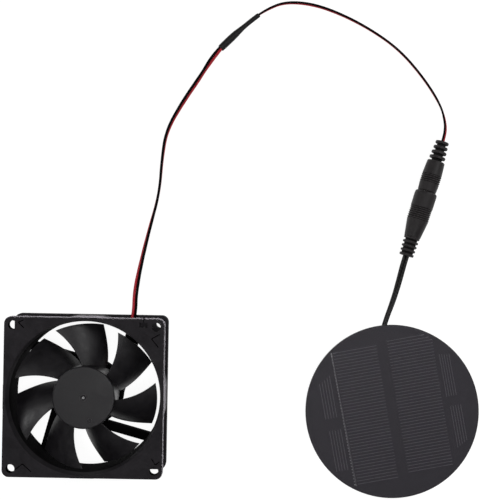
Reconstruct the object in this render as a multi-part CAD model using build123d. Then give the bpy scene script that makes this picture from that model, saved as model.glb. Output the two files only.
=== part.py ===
from build123d import *
import math
import os

# Solar attic fan: an 80 mm axial fan lying on its back, its two-wire lead, an in-line DC
# plug and jack, and a round solar panel on a short cable.
# Origin: on the rotor axis, in the plane of the fan's rear mounting face. +Z points out of
# the intake, +X towards the panel. Millimetres.

# ---- driving dimensions: fan frame ----
FAN_SIZE = 80.0
FAN_DEPTH = 25.0
HOLE_PITCH = 71.5
HOLE_DIAMETER = 4.4
FLANGE_THICKNESS = 4.0
FLANGE_CORNER = 3.5
FLANGE_CHAMFER = 0.35
DUCT_OUTER_RADIUS = 40.4
THROAT_RADIUS = 37.8
INLET_RADIUS = 38.8
INLET_DEPTH = 5.0
OUTLET_RADIUS = 39.6
OUTLET_DEPTH = 3.4
OUTLET_HALF_WIDTH = 38.6
CLIP_SLOT_X = 29.4
MARK_DEPTH = 0.6
MARK_WIDTH = 0.5
# Apex of each V groove, then the direction in degrees and the length of its two arms.
CORNER_MARKS = {
    (33.5, 30.0): ((29, 4.6), (-51, 5.5)),
    (-32.9, 37.1): ((25, 3.0), (-44, 3.9)),
    (-29.6, -33.2): ((-139, 4.6), (-42, 5.9)),
    (36.4, -32.6): ((122, 3.6), (36, 2.6)),
}

# ---- driving dimensions: struts and motor base ----
STRUT_COUNT = 4
STRUT_ANGLE = -15.0
STRUT_INNER = 12.3
STRUT_OUTER = 16.9
STRUT_HEIGHT = 4.4
STRUT_ROUND = 0.8
CHANNEL_NEAR = 9.65
CHANNEL_LIP = 0.7
CHANNEL_WIDTH = 3.0
CHANNEL_FLOOR = 2.4
KEEPER_START = 31.5
KEEPER_BOTTOM = 4.8
KEEPER_TOP = 5.8
RIM_NOTCH_SPAN = (8.0, 26.0)
EXIT_SLOT_SPAN = (31.0, 46.0)
BASE_RADIUS = 17.3
BASE_RIM = 1.4
BASE_RIM_TOP = 5.2
BASE_FLOOR_BOTTOM = 0.5
BASE_FLOOR_TOP = 1.8
BOARD_LEDGE_TOP = 2.1
BOARD_LEDGE_RADIUS = 14.0
TUBE_RADIUS = 3.9
TUBE_TOP = 17.0

# ---- driving dimensions: rotor ----
BLADE_COUNT = 7
HUB_RADIUS = 15.65
HUB_BOTTOM = 5.9
HUB_TOP = 24.5
HUB_ROOF = 1.6
HUB_EDGE_ROUND = 0.7
HUB_MARK_PLACE = (3.4, -11.3)
TIP_RADIUS = 36.2
BLADE_AXIS_ANGLE = 88.0
LEADING_EDGE_Z = 20.1
TRAILING_EDGE_Z = 8.6
BLADE_CAMBER = 0.085
BLADE_EDGE = 0.34
SECTION_DISTANCES = (9.0, 14.0, 19.0, 25.0, 31.0, 38.0)
YOKE_RADIUS = 14.3
YOKE_WALL = 0.9
YOKE_BOTTOM = 6.6
MAGNET_INNER = 11.9
MAGNET_BOTTOM = 6.8
MAGNET_TOP = 19.8
SHAFT_RADIUS = 1.5
SHAFT_BOTTOM = 2.4
SHAFT_GROOVE = (3.15, 3.65)
SHAFT_GROOVE_RADIUS = 1.1
BUSH_RADIUS = 3.4
BUSH_BOTTOM = 18.6

# ---- driving dimensions: stator and bearing ----
STATOR_RADIUS = 11.4
STATOR_BOTTOM = 10.0
STATOR_TOP = 16.0
POLE_COUNT = 4
POLE_WIDTH = 3.4
POLE_SPAN = 76.0
SHOE_THICKNESS = 1.5
CORE_RING_RADIUS = 5.6
INSULATOR_THICKNESS = 1.0
COIL_THICKNESS = 1.5
COIL_ROUND = 1.4
COIL_TO_SHOE = 0.75
BEARING_RADIUS = 2.9
BEARING_CLEARANCE = 0.03
BEARING_BOTTOM = 4.2
BEARING_TOP = 16.0
THRUST_WASHER_SPAN = (3.75, 4.15)
SEAL_SPAN = (16.1, 16.6)
CAP_TOP = 1.7
LABEL_THICKNESS = 0.15
BOARD_RADIUS = 14.8
BOARD_HOLE = 4.3
BOARD_TOP = 3.1
PART_ANGLES = {
    "hall_sensor": (45,),
    "driver_ic": (200,),
    "board_capacitors": (110, 140),
    "board_resistors": (255, 275, 295),
    "coil_pins": (45, 135, 225),
}

# ---- driving dimensions: lead and cable ----
FAN_WIRE = 1.4
THIN_WIRE = 1.1
WIRE_GAP = 0.06
CABLE_DIAMETER = 2.6
RUN_SHARE = 0.45
SLEEVE_DIAMETER = 3.8
SLEEVE_END_DIAMETER = 2.5
SLEEVE_TAPER = (0.42, 0.66)

# Centre line of the two wires from the circuit board to the splice sleeve.
FAN_LEAD_ROUTE = [
    (13.52, 4.66, 3.80),
    (19.10, 25.50, 3.80),
    (22.40, 40.60, 3.80),
    (22.15, 52.20, 0.90),
    (24.75, 66.45, 0.71),
    (28.85, 84.45, 0.71),
    (33.92, 103.80, 0.71),
    (35.00, 122.50, 0.71),
    (37.05, 136.75, 0.71),
    (45.15, 151.60, 0.71),
    (54.16, 165.09, 0.90),
    (60.95, 176.02, 1.92),
    (64.60, 180.18, 1.92),
]

# Centre line of the two thinner wires from the sleeve to the plug.
PLUG_LEAD_ROUTE = [
    (84.34, 198.03, 1.92),
    (88.75, 201.16, 1.60),
    (98.26, 205.30, 0.57),
    (112.45, 204.45, 0.57),
    (127.45, 199.45, 0.57),
    (143.45, 191.45, 0.57),
    (158.40, 181.15, 0.57),
    (171.05, 167.00, 0.57),
    (180.15, 153.20, 0.66),
    (182.30, 144.30, 3.00),
    (182.08, 137.64, 5.75),
    (180.64, 132.85, 5.75),
]

# Centre line of the panel's cable from the jack to the potting under the panel.
PANEL_CABLE_ROUTE = [
    (162.86, 73.45, 5.75),
    (161.28, 68.18, 5.75),
    (159.85, 60.20, 2.95),
    (157.55, 50.60, 1.31),
    (153.20, 38.60, 1.31),
    (149.60, 24.60, 1.31),
    (151.80, 13.00, 1.31),
    (154.00, 4.60, 1.31),
]

# ---- driving dimensions: connector ----
CONNECTOR_TOP = (180.64, 132.85, 5.75)
CONNECTOR_BOTTOM = (162.86, 73.45, 5.75)
PLUG_LENGTH = 27.1
SEAM_GAP = 0.25
RIDGE_DEPTH = 0.45
BARREL_RADIUS = 2.75
BARREL_BORE = 2.4
BARREL_LENGTH = 9.5
BARREL_START = 16.0
PIN_RADIUS = 1.0
INNER_CONTACT_RADIUS = 1.5
INNER_CONTACT_BORE = 1.08

# ---- driving dimensions: solar panel ----
PANEL_CENTRE = (157.2, -7.6)
PANEL_RADIUS = 45.0
PANEL_BOTTOM = 3.1
BOARD_THICKNESS = 1.8
CELL_THICKNESS = 0.2
PANEL_TOP = 5.6
FILM_MARGIN = 0.25
PANEL_TURN = 11.8
COLUMN_SKEW = 0.024
CORNER_CUT = (4.6, 3.8)
# Each narrow cell: inner and outer side, near end, far end at its outer and at its inner side.
SIDE_CELLS = [
    (-28.1, -35.2, 2.2, 21.0, 25.0),
    (28.9, 34.9, 2.0, 24.0, 25.2),
    (-27.6, -34.6, -3.6, -25.4, -25.8),
    (29.6, 36.0, -2.5, -21.8, -25.2),
]
POTTING_RADIUS = 13.0
POTTING_FLAT = 12.6


# Nodes of the panel that hold more than one solid.
SOLID_COUNTS = {"side_cells": 4, "solder_pads": 2}


# ================= helpers =================
def unit(start, end):
    """Direction from one point to another."""
    return (Vector(*end) - Vector(*start)).normalized()


def ring(outer, inner, bottom, top):
    """A plain tube about the rotor axis."""
    height = top - bottom
    solid = Cylinder(outer, height) - Cylinder(inner, height + 1)
    return Pos(0, 0, bottom + height / 2) * solid


def disc(radius, bottom, top):
    """A plain cylinder about the rotor axis."""
    height = top - bottom
    return Pos(0, 0, bottom + height / 2) * Cylinder(radius, height)


def block(x_span, y_span, z_span):
    """A box from its lowest and highest coordinate on each axis."""
    size = [high - low for low, high in (x_span, y_span, z_span)]
    middle = [(high + low) / 2 for low, high in (x_span, y_span, z_span)]
    return Pos(*middle) * Box(*size)


def turned(points):
    """A solid of revolution about Z from (radius, height) points."""
    outline = make_face(Polyline(*[(r, 0, z) for r, z in points], close=True))
    return revolve(outline, Axis.Z)


def write(name, shape, count=1):
    """Write one node, which holds a known number of solids."""
    solids = shape.solids()
    if len(solids) != count:
        raise ValueError(f"{name} has {len(solids)} solids, expected {count}")
    export_step(Compound(children=list(solids)) if count > 1 else solids[0], f"parts/{name}.step")


# ================= cords =================
def corner_radii(points):
    """As large an arc at each corner as its two runs allow."""
    radii = []
    for before, corner, after in zip(points, points[1:], points[2:]):
        run_in = corner - before
        run_out = after - corner
        half_turn = math.radians(run_in.get_angle(run_out)) / 2
        shorter = min(run_in.length, run_out.length)
        radii.append(RUN_SHARE * shorter / math.tan(half_turn))
    return radii


def cord_tube(name, points, diameter):
    """A round tube along straight runs joined by tangent arcs."""
    route = [Vector(*point) for point in points]
    radii = corner_radii(route)
    path = FilletPolyline(*route, radius=radii)
    section = Plane(origin=path @ 0, z_dir=path % 0) * Circle(diameter / 2)
    tube = sweep(section, path=path)
    expected = math.pi * diameter**2 / 4 * path.length
    shortest = min(radii)
    print(f"{name}: length {path.length:.1f} mm, smallest radius {shortest:.1f} mm "
          f"({shortest / diameter:.1f} diameters), volume ratio {tube.volume / expected:.4f}")
    print("   radii", [round(radius, 1) for radius in radii])
    return tube


def beside(points, offset):
    """The same route moved sideways, level, by an offset to its left."""
    moved = []
    last = len(points) - 1
    for index, point in enumerate(points):
        before = points[max(index - 1, 0)]
        after = points[min(index + 1, last)]
        along = Vector(after[0] - before[0], after[1] - before[1], 0).normalized()
        moved.append((point[0] - along.Y * offset, point[1] + along.X * offset, point[2]))
    return moved


def splice_sleeve():
    """Heat-shrink sleeve over the splice, thinner at the plug end."""
    start = FAN_LEAD_ROUTE[-1]
    end = PLUG_LEAD_ROUTE[0]
    length = (Vector(*end) - Vector(*start)).length
    full_end, thin_start = (length * share for share in SLEEVE_TAPER)
    outline = [
        (0, 0), (SLEEVE_DIAMETER / 2, 0), (SLEEVE_DIAMETER / 2, full_end),
        (SLEEVE_END_DIAMETER / 2, thin_start), (SLEEVE_END_DIAMETER / 2, length), (0, length),
    ]
    return Plane(origin=start, z_dir=unit(start, end)) * turned(outline)


# ================= fan frame =================
def flange(bottom, chamfered):
    """One square flange plate."""
    plate = extrude(RectangleRounded(FAN_SIZE, FAN_SIZE, FLANGE_CORNER), FLANGE_THICKNESS)
    if chamfered:
        plate = chamfer(plate.faces().sort_by(Axis.Z)[-1].edges(), FLANGE_CHAMFER)
    return Pos(0, 0, bottom) * plate


def duct_opening():
    """The air path through the frame, flared at both ends."""
    past = 1.0
    inlet = turned([
        (0, FAN_DEPTH - INLET_DEPTH), (THROAT_RADIUS, FAN_DEPTH - INLET_DEPTH),
        (INLET_RADIUS, FAN_DEPTH), (INLET_RADIUS, FAN_DEPTH + past), (0, FAN_DEPTH + past),
    ])
    throat = disc(THROAT_RADIUS, OUTLET_DEPTH, FAN_DEPTH - INLET_DEPTH)
    outlet = turned([
        (0, -past), (OUTLET_RADIUS, -past), (OUTLET_RADIUS, 0), (THROAT_RADIUS, OUTLET_DEPTH),
        (0, OUTLET_DEPTH),
    ])
    width = 2 * OUTLET_HALF_WIDTH
    return inlet + throat + (outlet & Box(width, width, 4 * OUTLET_DEPTH))


def strut():
    """One strut, tangent to the motor base, before it is turned into place."""
    length = DUCT_OUTER_RADIUS
    bar = block((0, length), (-STRUT_OUTER, -STRUT_INNER), (0, STRUT_HEIGHT))
    top_edges = bar.edges().filter_by(Axis.X).group_by(Axis.Z)[-1]
    return fillet(top_edges, STRUT_ROUND)


def wire_strut():
    """The strut that carries the lead in a channel open towards the intake."""
    length = DUCT_OUTER_RADIUS
    near = -CHANNEL_NEAR
    channel_high = near - CHANNEL_LIP
    channel_low = channel_high - CHANNEL_WIDTH
    bar = block((0, length), (-STRUT_OUTER, near), (0, STRUT_HEIGHT))
    channel = block((0, length), (channel_low, channel_high), (CHANNEL_FLOOR, STRUT_HEIGHT + 1))
    keeper = block((KEEPER_START, length), (-STRUT_OUTER, near), (KEEPER_BOTTOM, KEEPER_TOP))
    post = block((KEEPER_START, length), (-STRUT_OUTER, channel_low), (STRUT_HEIGHT, KEEPER_TOP))
    return bar - channel + keeper + post


def motor_base():
    """Shallow cup with the bearing tube and a ledge for the circuit board."""
    rim = ring(BASE_RADIUS, BASE_RADIUS - BASE_RIM, 0, BASE_RIM_TOP)
    floor = ring(BASE_RADIUS - BASE_RIM / 2, BEARING_RADIUS, BASE_FLOOR_BOTTOM, BASE_FLOOR_TOP)
    ledge = ring(BASE_RADIUS - BASE_RIM / 2, BOARD_LEDGE_RADIUS, BASE_FLOOR_TOP - 0.2, BOARD_LEDGE_TOP)
    tube = ring(TUBE_RADIUS, BEARING_RADIUS, BASE_FLOOR_BOTTOM, TUBE_TOP)
    return rim + floor + ledge + tube


def wire_clip_slot(x, bottom):
    """Keyhole slot in a flange edge that holds the wires: a slit and a pocket."""
    pocket_width = 4.0
    pocket_depth = 2.4
    pocket_y = 36.8
    slit = 0.7
    z_span = (bottom - 0.5, bottom + FLANGE_THICKNESS + 0.5)
    pocket = block(
        (x - pocket_width / 2, x + pocket_width / 2),
        (pocket_y - pocket_depth / 2, pocket_y + pocket_depth / 2), z_span)
    return pocket + block((x - slit / 2, x + slit / 2), (pocket_y, FAN_SIZE / 2 + 1), z_span)


def corner_marks():
    """Moulded V grooves beside the corner holes of the front flange."""
    marks = []
    for apex, arms in CORNER_MARKS.items():
        for angle, reach in arms:
            bar = Pos(reach / 2, 0, 0) * Box(reach, MARK_WIDTH, 2 * MARK_DEPTH)
            marks.append(Pos(*apex, FAN_DEPTH) * Rot(0, 0, angle) * bar)
    return marks


def fan_frame():
    """Flanges, duct, struts and motor base, moulded in one piece."""
    top = FAN_DEPTH - FLANGE_THICKNESS
    square = Pos(0, 0, FAN_DEPTH / 2) * Box(FAN_SIZE, FAN_SIZE, FAN_DEPTH)
    shell = disc(DUCT_OUTER_RADIUS, 0, FAN_DEPTH) & square
    frame = flange(0, False) + flange(top, True) + shell - duct_opening()

    reach = ring(DUCT_OUTER_RADIUS - 0.6, BASE_RADIUS - BASE_RIM / 2, -1, FAN_DEPTH)
    inside = Box(FAN_SIZE, FAN_SIZE, 2 * FAN_DEPTH)
    for index in range(STRUT_COUNT):
        bar = wire_strut() if index == 1 else strut()
        placed = Rot(0, 0, STRUT_ANGLE + index * 360 / STRUT_COUNT) * bar
        frame += placed & reach & inside
    frame += motor_base()

    # way out for the lead: a notch in the base's rim, then a slot in the duct wall and flange
    exit_turn = Rot(0, 0, STRUT_ANGLE + 90)
    middle = -CHANNEL_NEAR - CHANNEL_LIP - CHANNEL_WIDTH / 2
    half = CHANNEL_WIDTH / 2
    notch_height = (CHANNEL_FLOOR, BASE_RIM_TOP + 1)
    slot_height = (CHANNEL_FLOOR, KEEPER_BOTTOM)
    frame -= exit_turn * block(RIM_NOTCH_SPAN, (middle - half, middle + half), notch_height)
    frame -= exit_turn * block(EXIT_SLOT_SPAN, (middle - half, middle + half + 1.0), slot_height)

    # wire-retaining slot in the front flange
    frame -= wire_clip_slot(CLIP_SLOT_X, top)

    # screw holes
    for x in (-HOLE_PITCH / 2, HOLE_PITCH / 2):
        for y in (-HOLE_PITCH / 2, HOLE_PITCH / 2):
            frame -= Pos(x, y, FAN_DEPTH / 2) * Cylinder(HOLE_DIAMETER / 2, FAN_DEPTH + 2)
    for mark in corner_marks():
        frame -= mark
    return frame


# ================= impeller =================
def leading_angle(radius):
    """Angle of the leading edge about the axis, swept forwards with radius."""
    step = radius - 26.0
    return 105.3 + 0.897 * step + 0.0013 * step**2


def trailing_angle(radius):
    """Angle of the trailing edge about the axis."""
    step = radius - 26.0
    return 69.7 + 1.108 * step - 0.0199 * step**2


def edge_on_plane(angle_of, distance):
    """Radius and sideways place where an edge crosses the plane at a distance from the axis."""
    radius = distance
    for _ in range(30):
        lean = math.radians(BLADE_AXIS_ANGLE - angle_of(radius))
        radius = distance / math.cos(lean)
    return radius, radius * math.sin(lean)


def blade_section(distance):
    """Cambered section of the blade in the plane at a distance from the axis."""
    lead_radius, lead_x = edge_on_plane(leading_angle, distance)
    trail_radius, trail_x = edge_on_plane(trailing_angle, distance)
    lead = Vector(lead_x, LEADING_EDGE_Z + 0.04 * (lead_radius - 26.0))
    trail = Vector(trail_x, TRAILING_EDGE_Z + 0.10 * (trail_radius - 26.0))
    chord = trail - lead
    along = chord.normalized()
    across = Vector(-along.Y, along.X)
    if across.Y < 0:
        across = -across
    half_thickness = 0.85 - 0.008 * distance
    crown = lead + chord * 0.42 + across * (BLADE_CAMBER * chord.length)
    upper = [lead + across * BLADE_EDGE, crown + across * half_thickness, trail + across * BLADE_EDGE]
    lower = [trail - across * BLADE_EDGE, crown - across * half_thickness, lead - across * BLADE_EDGE]
    tail = [upper[2], trail + along * BLADE_EDGE, lower[0]]
    nose = [lower[2], lead - along * BLADE_EDGE, upper[0]]
    edges = []
    for points in (upper, tail, lower, nose):
        edges.append(ThreePointArc(*[(point.X, distance, point.Y) for point in points]))
    return Face(Wire(edges))


def blade():
    """One blade, cut off at the tip circle."""
    body = loft([blade_section(distance) for distance in SECTION_DISTANCES])
    return Rot(0, 0, BLADE_AXIS_ANGLE - 90) * body & disc(TIP_RADIUS, 0, FAN_DEPTH)


def impeller():
    """Hub cup with its blades."""
    hub = disc(HUB_RADIUS, HUB_BOTTOM, HUB_TOP)
    hub = fillet(hub.edges().filter_by(GeomType.CIRCLE).sort_by(Axis.Z)[-1], HUB_EDGE_ROUND)
    one = blade()
    for index in range(BLADE_COUNT):
        hub += Rot(0, 0, index * 360 / BLADE_COUNT) * one
    hub -= disc(YOKE_RADIUS, HUB_BOTTOM - 1, HUB_TOP - HUB_ROOF)

    # gate mark at the centre and an ejector mark near the edge
    gate_cup = Pos(0, 0, HUB_TOP) * Cone(0.9, 1.6, 0.5)
    gate_nub = disc(0.55, HUB_TOP - 0.5, HUB_TOP - 0.05)
    mark_cup = Pos(*HUB_MARK_PLACE, HUB_TOP) * Cylinder(1.2, 0.6)
    mark_nub = Pos(*HUB_MARK_PLACE, HUB_TOP - 0.15) * Cylinder(0.45, 0.3)
    return hub - gate_cup + gate_nub - mark_cup + mark_nub


def rotor_yoke():
    """Steel cup pressed into the hub, open towards the base."""
    top = HUB_TOP - HUB_ROOF
    cup = disc(YOKE_RADIUS, YOKE_BOTTOM, top)
    cup -= disc(YOKE_RADIUS - YOKE_WALL, YOKE_BOTTOM - 1, top - YOKE_WALL)
    return cup - disc(BUSH_RADIUS, BUSH_BOTTOM, top + 1)


def rotor_shaft():
    """Steel shaft with a groove for its clip."""
    shaft = disc(SHAFT_RADIUS, SHAFT_BOTTOM, HUB_TOP - HUB_ROOF)
    return shaft - ring(SHAFT_RADIUS + 1, SHAFT_GROOVE_RADIUS, *SHAFT_GROOVE)


# ================= stator, bearing and circuit board =================
def star(bottom, top, outer, shoe):
    """Ring, arms and pole shoes seen from above as one flat star."""
    star_shape = ring(CORE_RING_RADIUS, TUBE_RADIUS, bottom, top)
    rim = ring(outer, outer - shoe, bottom, top)
    far = outer + 2
    spread = far * math.tan(math.radians(POLE_SPAN / 2))
    wedge_face = make_face(Polyline((0, 0), (far, spread), (far, -spread), close=True))
    wedge = Pos(0, 0, bottom) * extrude(wedge_face, top - bottom)
    half_arm = POLE_WIDTH / 2
    arm = block((CORE_RING_RADIUS - 0.5, outer - shoe / 2), (-half_arm, half_arm), (bottom, top))
    for index in range(POLE_COUNT):
        turn = Rot(0, 0, index * 360 / POLE_COUNT)
        star_shape += turn * arm
        star_shape += turn * (rim & wedge)
    return star_shape


def coil_windings():
    """Four coils of enamelled wire, one round each arm."""
    inner_height = STATOR_TOP - STATOR_BOTTOM + 2 * INSULATOR_THICKNESS
    middle = (STATOR_TOP + STATOR_BOTTOM) / 2
    near = CORE_RING_RADIUS + 0.3
    far = STATOR_RADIUS - SHOE_THICKNESS - COIL_TO_SHOE
    outer_width = POLE_WIDTH + 2 * COIL_THICKNESS
    outer_height = inner_height + 2 * COIL_THICKNESS
    outside = extrude(RectangleRounded(outer_width, outer_height, COIL_ROUND), far - near)
    coil = outside - Pos(0, 0, (far - near) / 2) * Box(POLE_WIDTH, inner_height, far)
    stood = Plane(origin=(near, 0, middle), x_dir=(0, 1, 0), z_dir=(1, 0, 0)) * coil
    return Compound(children=[
        (Rot(0, 0, index * 360 / POLE_COUNT) * stood).solid() for index in range(POLE_COUNT)])


def circuit_board():
    """Ring-shaped board in the motor base."""
    return ring(BOARD_RADIUS, BOARD_HOLE, BOARD_LEDGE_TOP, BOARD_TOP)


def board_parts():
    """The electronic parts on the board, one entry per node."""
    top = BOARD_TOP
    pin_height = STATOR_BOTTOM - INSULATOR_THICKNESS - top
    shapes = {
        "hall_sensor": block((12.1, 13.6), (-2.0, 2.0), (top, top + 2.8)),
        "driver_ic": block((7.2, 10.8), (-2.4, 2.4), (top, top + 1.4)),
        "board_capacitors": block((8.6, 10.6), (-0.65, 0.65), (top, top + 1.1)),
        "board_resistors": block((8.8, 10.4), (-0.4, 0.4), (top, top + 0.5)),
        "coil_pins": Pos(4.9, 0, top + pin_height / 2) * Cylinder(0.3, pin_height),
    }
    return {
        node: [Rot(0, 0, angle) * shape for angle in PART_ANGLES[node]]
        for node, shape in shapes.items()
    }


def wire_joints():
    """Solder joints between the two wires and the board."""
    start = Vector(*FAN_LEAD_ROUTE[0])
    back = unit(FAN_LEAD_ROUTE[1], FAN_LEAD_ROUTE[0])
    side = Vector(-back.Y, back.X, 0)
    offset = (FAN_WIRE + WIRE_GAP) / 2
    joints = []
    for sign in (-1, 1):
        face = start + side * (sign * offset)
        drop = Plane(origin=face, z_dir=back) * Pos(0, 0, 0.7) * Cylinder(FAN_WIRE / 2 - 0.02, 1.4)
        joints.append(drop + Pos(*(face + back * 0.8)) * Pos(0, 0, -0.35) * Cylinder(0.6, 0.7))
    return Compound(children=[joint.solid() for joint in joints])


def shaft_clip():
    """Split ring in the shaft's groove."""
    return ring(2.3, 1.12, 3.2, 3.6) - block((0, 4), (-0.8, 0.8), (3, 4))


# ================= connector =================
def connector_place(distance):
    """Frame on the connector's axis, at a distance from the plug's lead end."""
    along = unit(CONNECTOR_TOP, CONNECTOR_BOTTOM)
    return Plane(origin=Vector(*CONNECTOR_TOP) + along * distance, x_dir=(0, 0, 1), z_dir=along)


def ribbed_profile(start, pitch, count, rib, radii, cores):
    """Strain-relief outline: ribs with rounded grooves between them, radius growing evenly."""
    points = []
    for index in range(count):
        share = index / (count - 1)
        radius = radii[0] + (radii[1] - radii[0]) * share
        core = cores[0] + (cores[1] - cores[0]) * share
        base = start + index * pitch
        soft = 0.25
        points += [(radius - soft, base), (radius, base + soft), (radius, base + rib - soft)]
        points += [(radius - soft, base + rib), (core, base + rib + 0.1), (core, base + pitch - 0.1)]
    return points


def ridge_band(start, pitch, count, radius, depth):
    """Fine grip ridges round a moulded body."""
    points = []
    for index in range(count):
        base = start + index * pitch
        points += [(radius - depth, base + 0.15 * pitch), (radius, base + 0.4 * pitch)]
        points += [(radius, base + 0.75 * pitch), (radius - depth, base + pitch)]
    return points


def plug_shell():
    """Moulded body of the plug with its ribbed strain relief."""
    relief = ribbed_profile(0, 2.65, 4, 1.35, (3.45, 4.15), (2.3, 2.65))
    body = [(4.25, 10.7), (4.55, 11.1), (5.05, 17.9)]
    ridges = ridge_band(18.0, 1.05, 4, 5.15, RIDGE_DEPTH)
    nose = [(5.05, 22.5), (4.75, 26.7), (4.5, PLUG_LENGTH)]
    shell = turned([(0, 0)] + relief + body + ridges + nose + [(0, PLUG_LENGTH)])
    return shell - disc(BARREL_RADIUS, BARREL_START, PLUG_LENGTH + 1)


def jack_shell(length):
    """Moulded body of the jack with its ribbed strain relief, from its mouth."""
    mouth = [(5.1, 0), (5.6, 0.5), (5.75, 1.4), (5.7, 8.4)]
    ridges = ridge_band(8.5, 1.07, 6, 5.65, RIDGE_DEPTH)
    taper = [(5.55, 15.1), (4.2, 24.3)]
    relief_start = 24.4
    pitch = 2.25
    relief = ribbed_profile(relief_start, pitch, 4, 1.15, (4.1, 3.85), (3.15, 3.0))
    relief_end = relief_start + 4 * pitch
    tail = [(3.6, relief_end), (3.75, relief_end + 0.3), (3.7, length - 0.25), (3.45, length)]
    shell = turned([(0, 0)] + mouth + ridges + taper + relief + tail + [(0, length)])
    return shell - disc(4.3, -1, 13.0)


def jack_insert():
    """Plastic housing of the jack's socket, with room for the barrel."""
    housing = disc(4.3, 0.2, 13.0)
    socket = disc(BARREL_RADIUS + 0.12, 0, 10.6)
    spring_room = block((-0.8, 0.8), (2.0, 3.9), (2.0, 10.6))
    return housing - socket - spring_room


def jack_side_spring():
    """Leaf contact beside the barrel."""
    leaf = block((-0.6, 0.6), (3.3, 3.6), (2.6, 10.6))
    bump = block((-0.6, 0.6), (2.95, 3.3), (4.4, 5.4))
    return leaf + bump


# ================= solar panel =================
def panel_place(height):
    """Frame at the panel's centre, turned with its cells."""
    return Plane(origin=(*PANEL_CENTRE, height), z_dir=(0, 0, 1)) * Rot(0, 0, PANEL_TURN)


def cell(outline):
    """One cell from its outline in the panel's own frame."""
    face = make_face(Polyline(*outline, close=True))
    return extrude(face, CELL_THICKNESS)


def column_cell(left, right, bottom, top, skew_left, skew_right, cut_corner):
    """One of the two long cells: skewed sides lean with the gap, and a corner may clear the rim."""
    lean_left = COLUMN_SKEW if skew_left else 0
    lean_right = COLUMN_SKEW if skew_right else 0
    upper_right = [(right + lean_right * top, top)]
    if cut_corner:
        side_top = top - CORNER_CUT[1]
        side = right + lean_right * side_top
        upper_right = [(side, side_top), (side - CORNER_CUT[0], top)]
    return cell([
        (left + lean_left * bottom, bottom), (right + lean_right * bottom, bottom),
        *upper_right, (left + lean_left * top, top),
    ])


def side_cells():
    """The four narrow cells, their far outer corners cut back along the panel's rim."""
    cells = []
    for inner, outer, near, far_outer, far_inner in SIDE_CELLS:
        outline = [(inner, near), (outer, near), (outer, far_outer), (inner, far_inner)]
        cells.append(cell(outline).solid())
    return Compound(children=cells)


def panel_parts():
    """The panel's own pieces."""
    board_top = PANEL_BOTTOM + BOARD_THICKNESS
    on_board = panel_place(board_top)
    left = column_cell(-25.0, -2.2, -34.5, 36.0, False, True, False)
    right = column_cell(2.8, 26.9, -33.2, 37.0, True, True, True)
    sides = side_cells()
    ribbon = block((-25.9, -25.15), (-34.5, 35.4), (0, 0.15))
    film_thickness = PANEL_TOP - board_top
    film = Pos(0, 0, film_thickness / 2) * Cylinder(PANEL_RADIUS - FILM_MARGIN, film_thickness)
    film -= left
    film -= right
    film -= ribbon
    for piece in sides.solids():
        film -= piece
    board_middle = PANEL_BOTTOM + BOARD_THICKNESS / 2
    board = Pos(*PANEL_CENTRE, board_middle) * Cylinder(PANEL_RADIUS, BOARD_THICKNESS)

    along = unit((*PANEL_CENTRE, PANEL_CABLE_ROUTE[-1][2]), PANEL_CABLE_ROUTE[-1])
    facing = Plane(origin=(*PANEL_CENTRE, 0), x_dir=(along.X, along.Y, 0), z_dir=(0, 0, 1))
    pad_height = (PANEL_BOTTOM - 0.35, PANEL_BOTTOM)
    pads = [block((2.0, 5.0), span, pad_height) for span in ((-3.5, -1.0), (1.0, 3.5))]
    potting = disc(POTTING_RADIUS, 0, PANEL_BOTTOM)
    potting = chamfer(potting.edges().filter_by(GeomType.CIRCLE).sort_by(Axis.Z)[0], 0.8)
    potting &= block((-20, POTTING_FLAT), (-20, 20), (-1, PANEL_BOTTOM + 1))
    for pad in pads:
        potting -= pad
    return {
        "panel_board": board,
        "cell_left": on_board * left,
        "cell_right": on_board * right,
        "side_cells": on_board * sides,
        "bus_ribbon": on_board * ribbon,
        "panel_film": on_board * film,
        "junction_potting": facing * potting,
        "solder_pads": facing * Compound(children=[pad.solid() for pad in pads]),
    }


# ================= build every node =================
os.makedirs("parts", exist_ok=True)

write("fan_frame", fan_frame())
label_radius = BASE_RADIUS - BASE_RIM - 0.3
bearing_bore = SHAFT_RADIUS + BEARING_CLEARANCE
write("rear_label", disc(label_radius, BASE_FLOOR_BOTTOM - LABEL_THICKNESS, BASE_FLOOR_BOTTOM))
write("bearing_cap", disc(BEARING_RADIUS, BASE_FLOOR_BOTTOM, CAP_TOP))
write("sleeve_bearing", ring(BEARING_RADIUS, bearing_bore, BEARING_BOTTOM, BEARING_TOP))
write("oil_seal_ring", ring(BEARING_RADIUS, SHAFT_RADIUS + 0.08, *SEAL_SPAN))
write("thrust_washer", ring(BEARING_RADIUS - 0.2, SHAFT_RADIUS + 0.06, *THRUST_WASHER_SPAN))

write("stator_core", star(STATOR_BOTTOM, STATOR_TOP, STATOR_RADIUS, SHOE_THICKNESS))
insulator_radius = STATOR_RADIUS - 0.3
insulator_shoe = SHOE_THICKNESS - 0.3
upper_span = (STATOR_TOP, STATOR_TOP + INSULATOR_THICKNESS)
lower_span = (STATOR_BOTTOM - INSULATOR_THICKNESS, STATOR_BOTTOM)
write("upper_insulator", star(*upper_span, insulator_radius, insulator_shoe))
write("lower_insulator", star(*lower_span, insulator_radius, insulator_shoe))
write("coil_windings", coil_windings(), POLE_COUNT)
write("circuit_board", circuit_board())
for node, pieces in board_parts().items():
    write(node, Compound(children=[piece.solid() for piece in pieces]), len(pieces))
write("wire_solder_joints", wire_joints(), 2)

write("impeller", impeller())
write("rotor_yoke", rotor_yoke())
write("ring_magnet", ring(YOKE_RADIUS - YOKE_WALL, MAGNET_INNER, MAGNET_BOTTOM, MAGNET_TOP))
write("hub_bush", ring(BUSH_RADIUS, SHAFT_RADIUS, BUSH_BOTTOM, HUB_TOP - HUB_ROOF))
write("rotor_shaft", rotor_shaft())
write("shaft_clip", shaft_clip())

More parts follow.
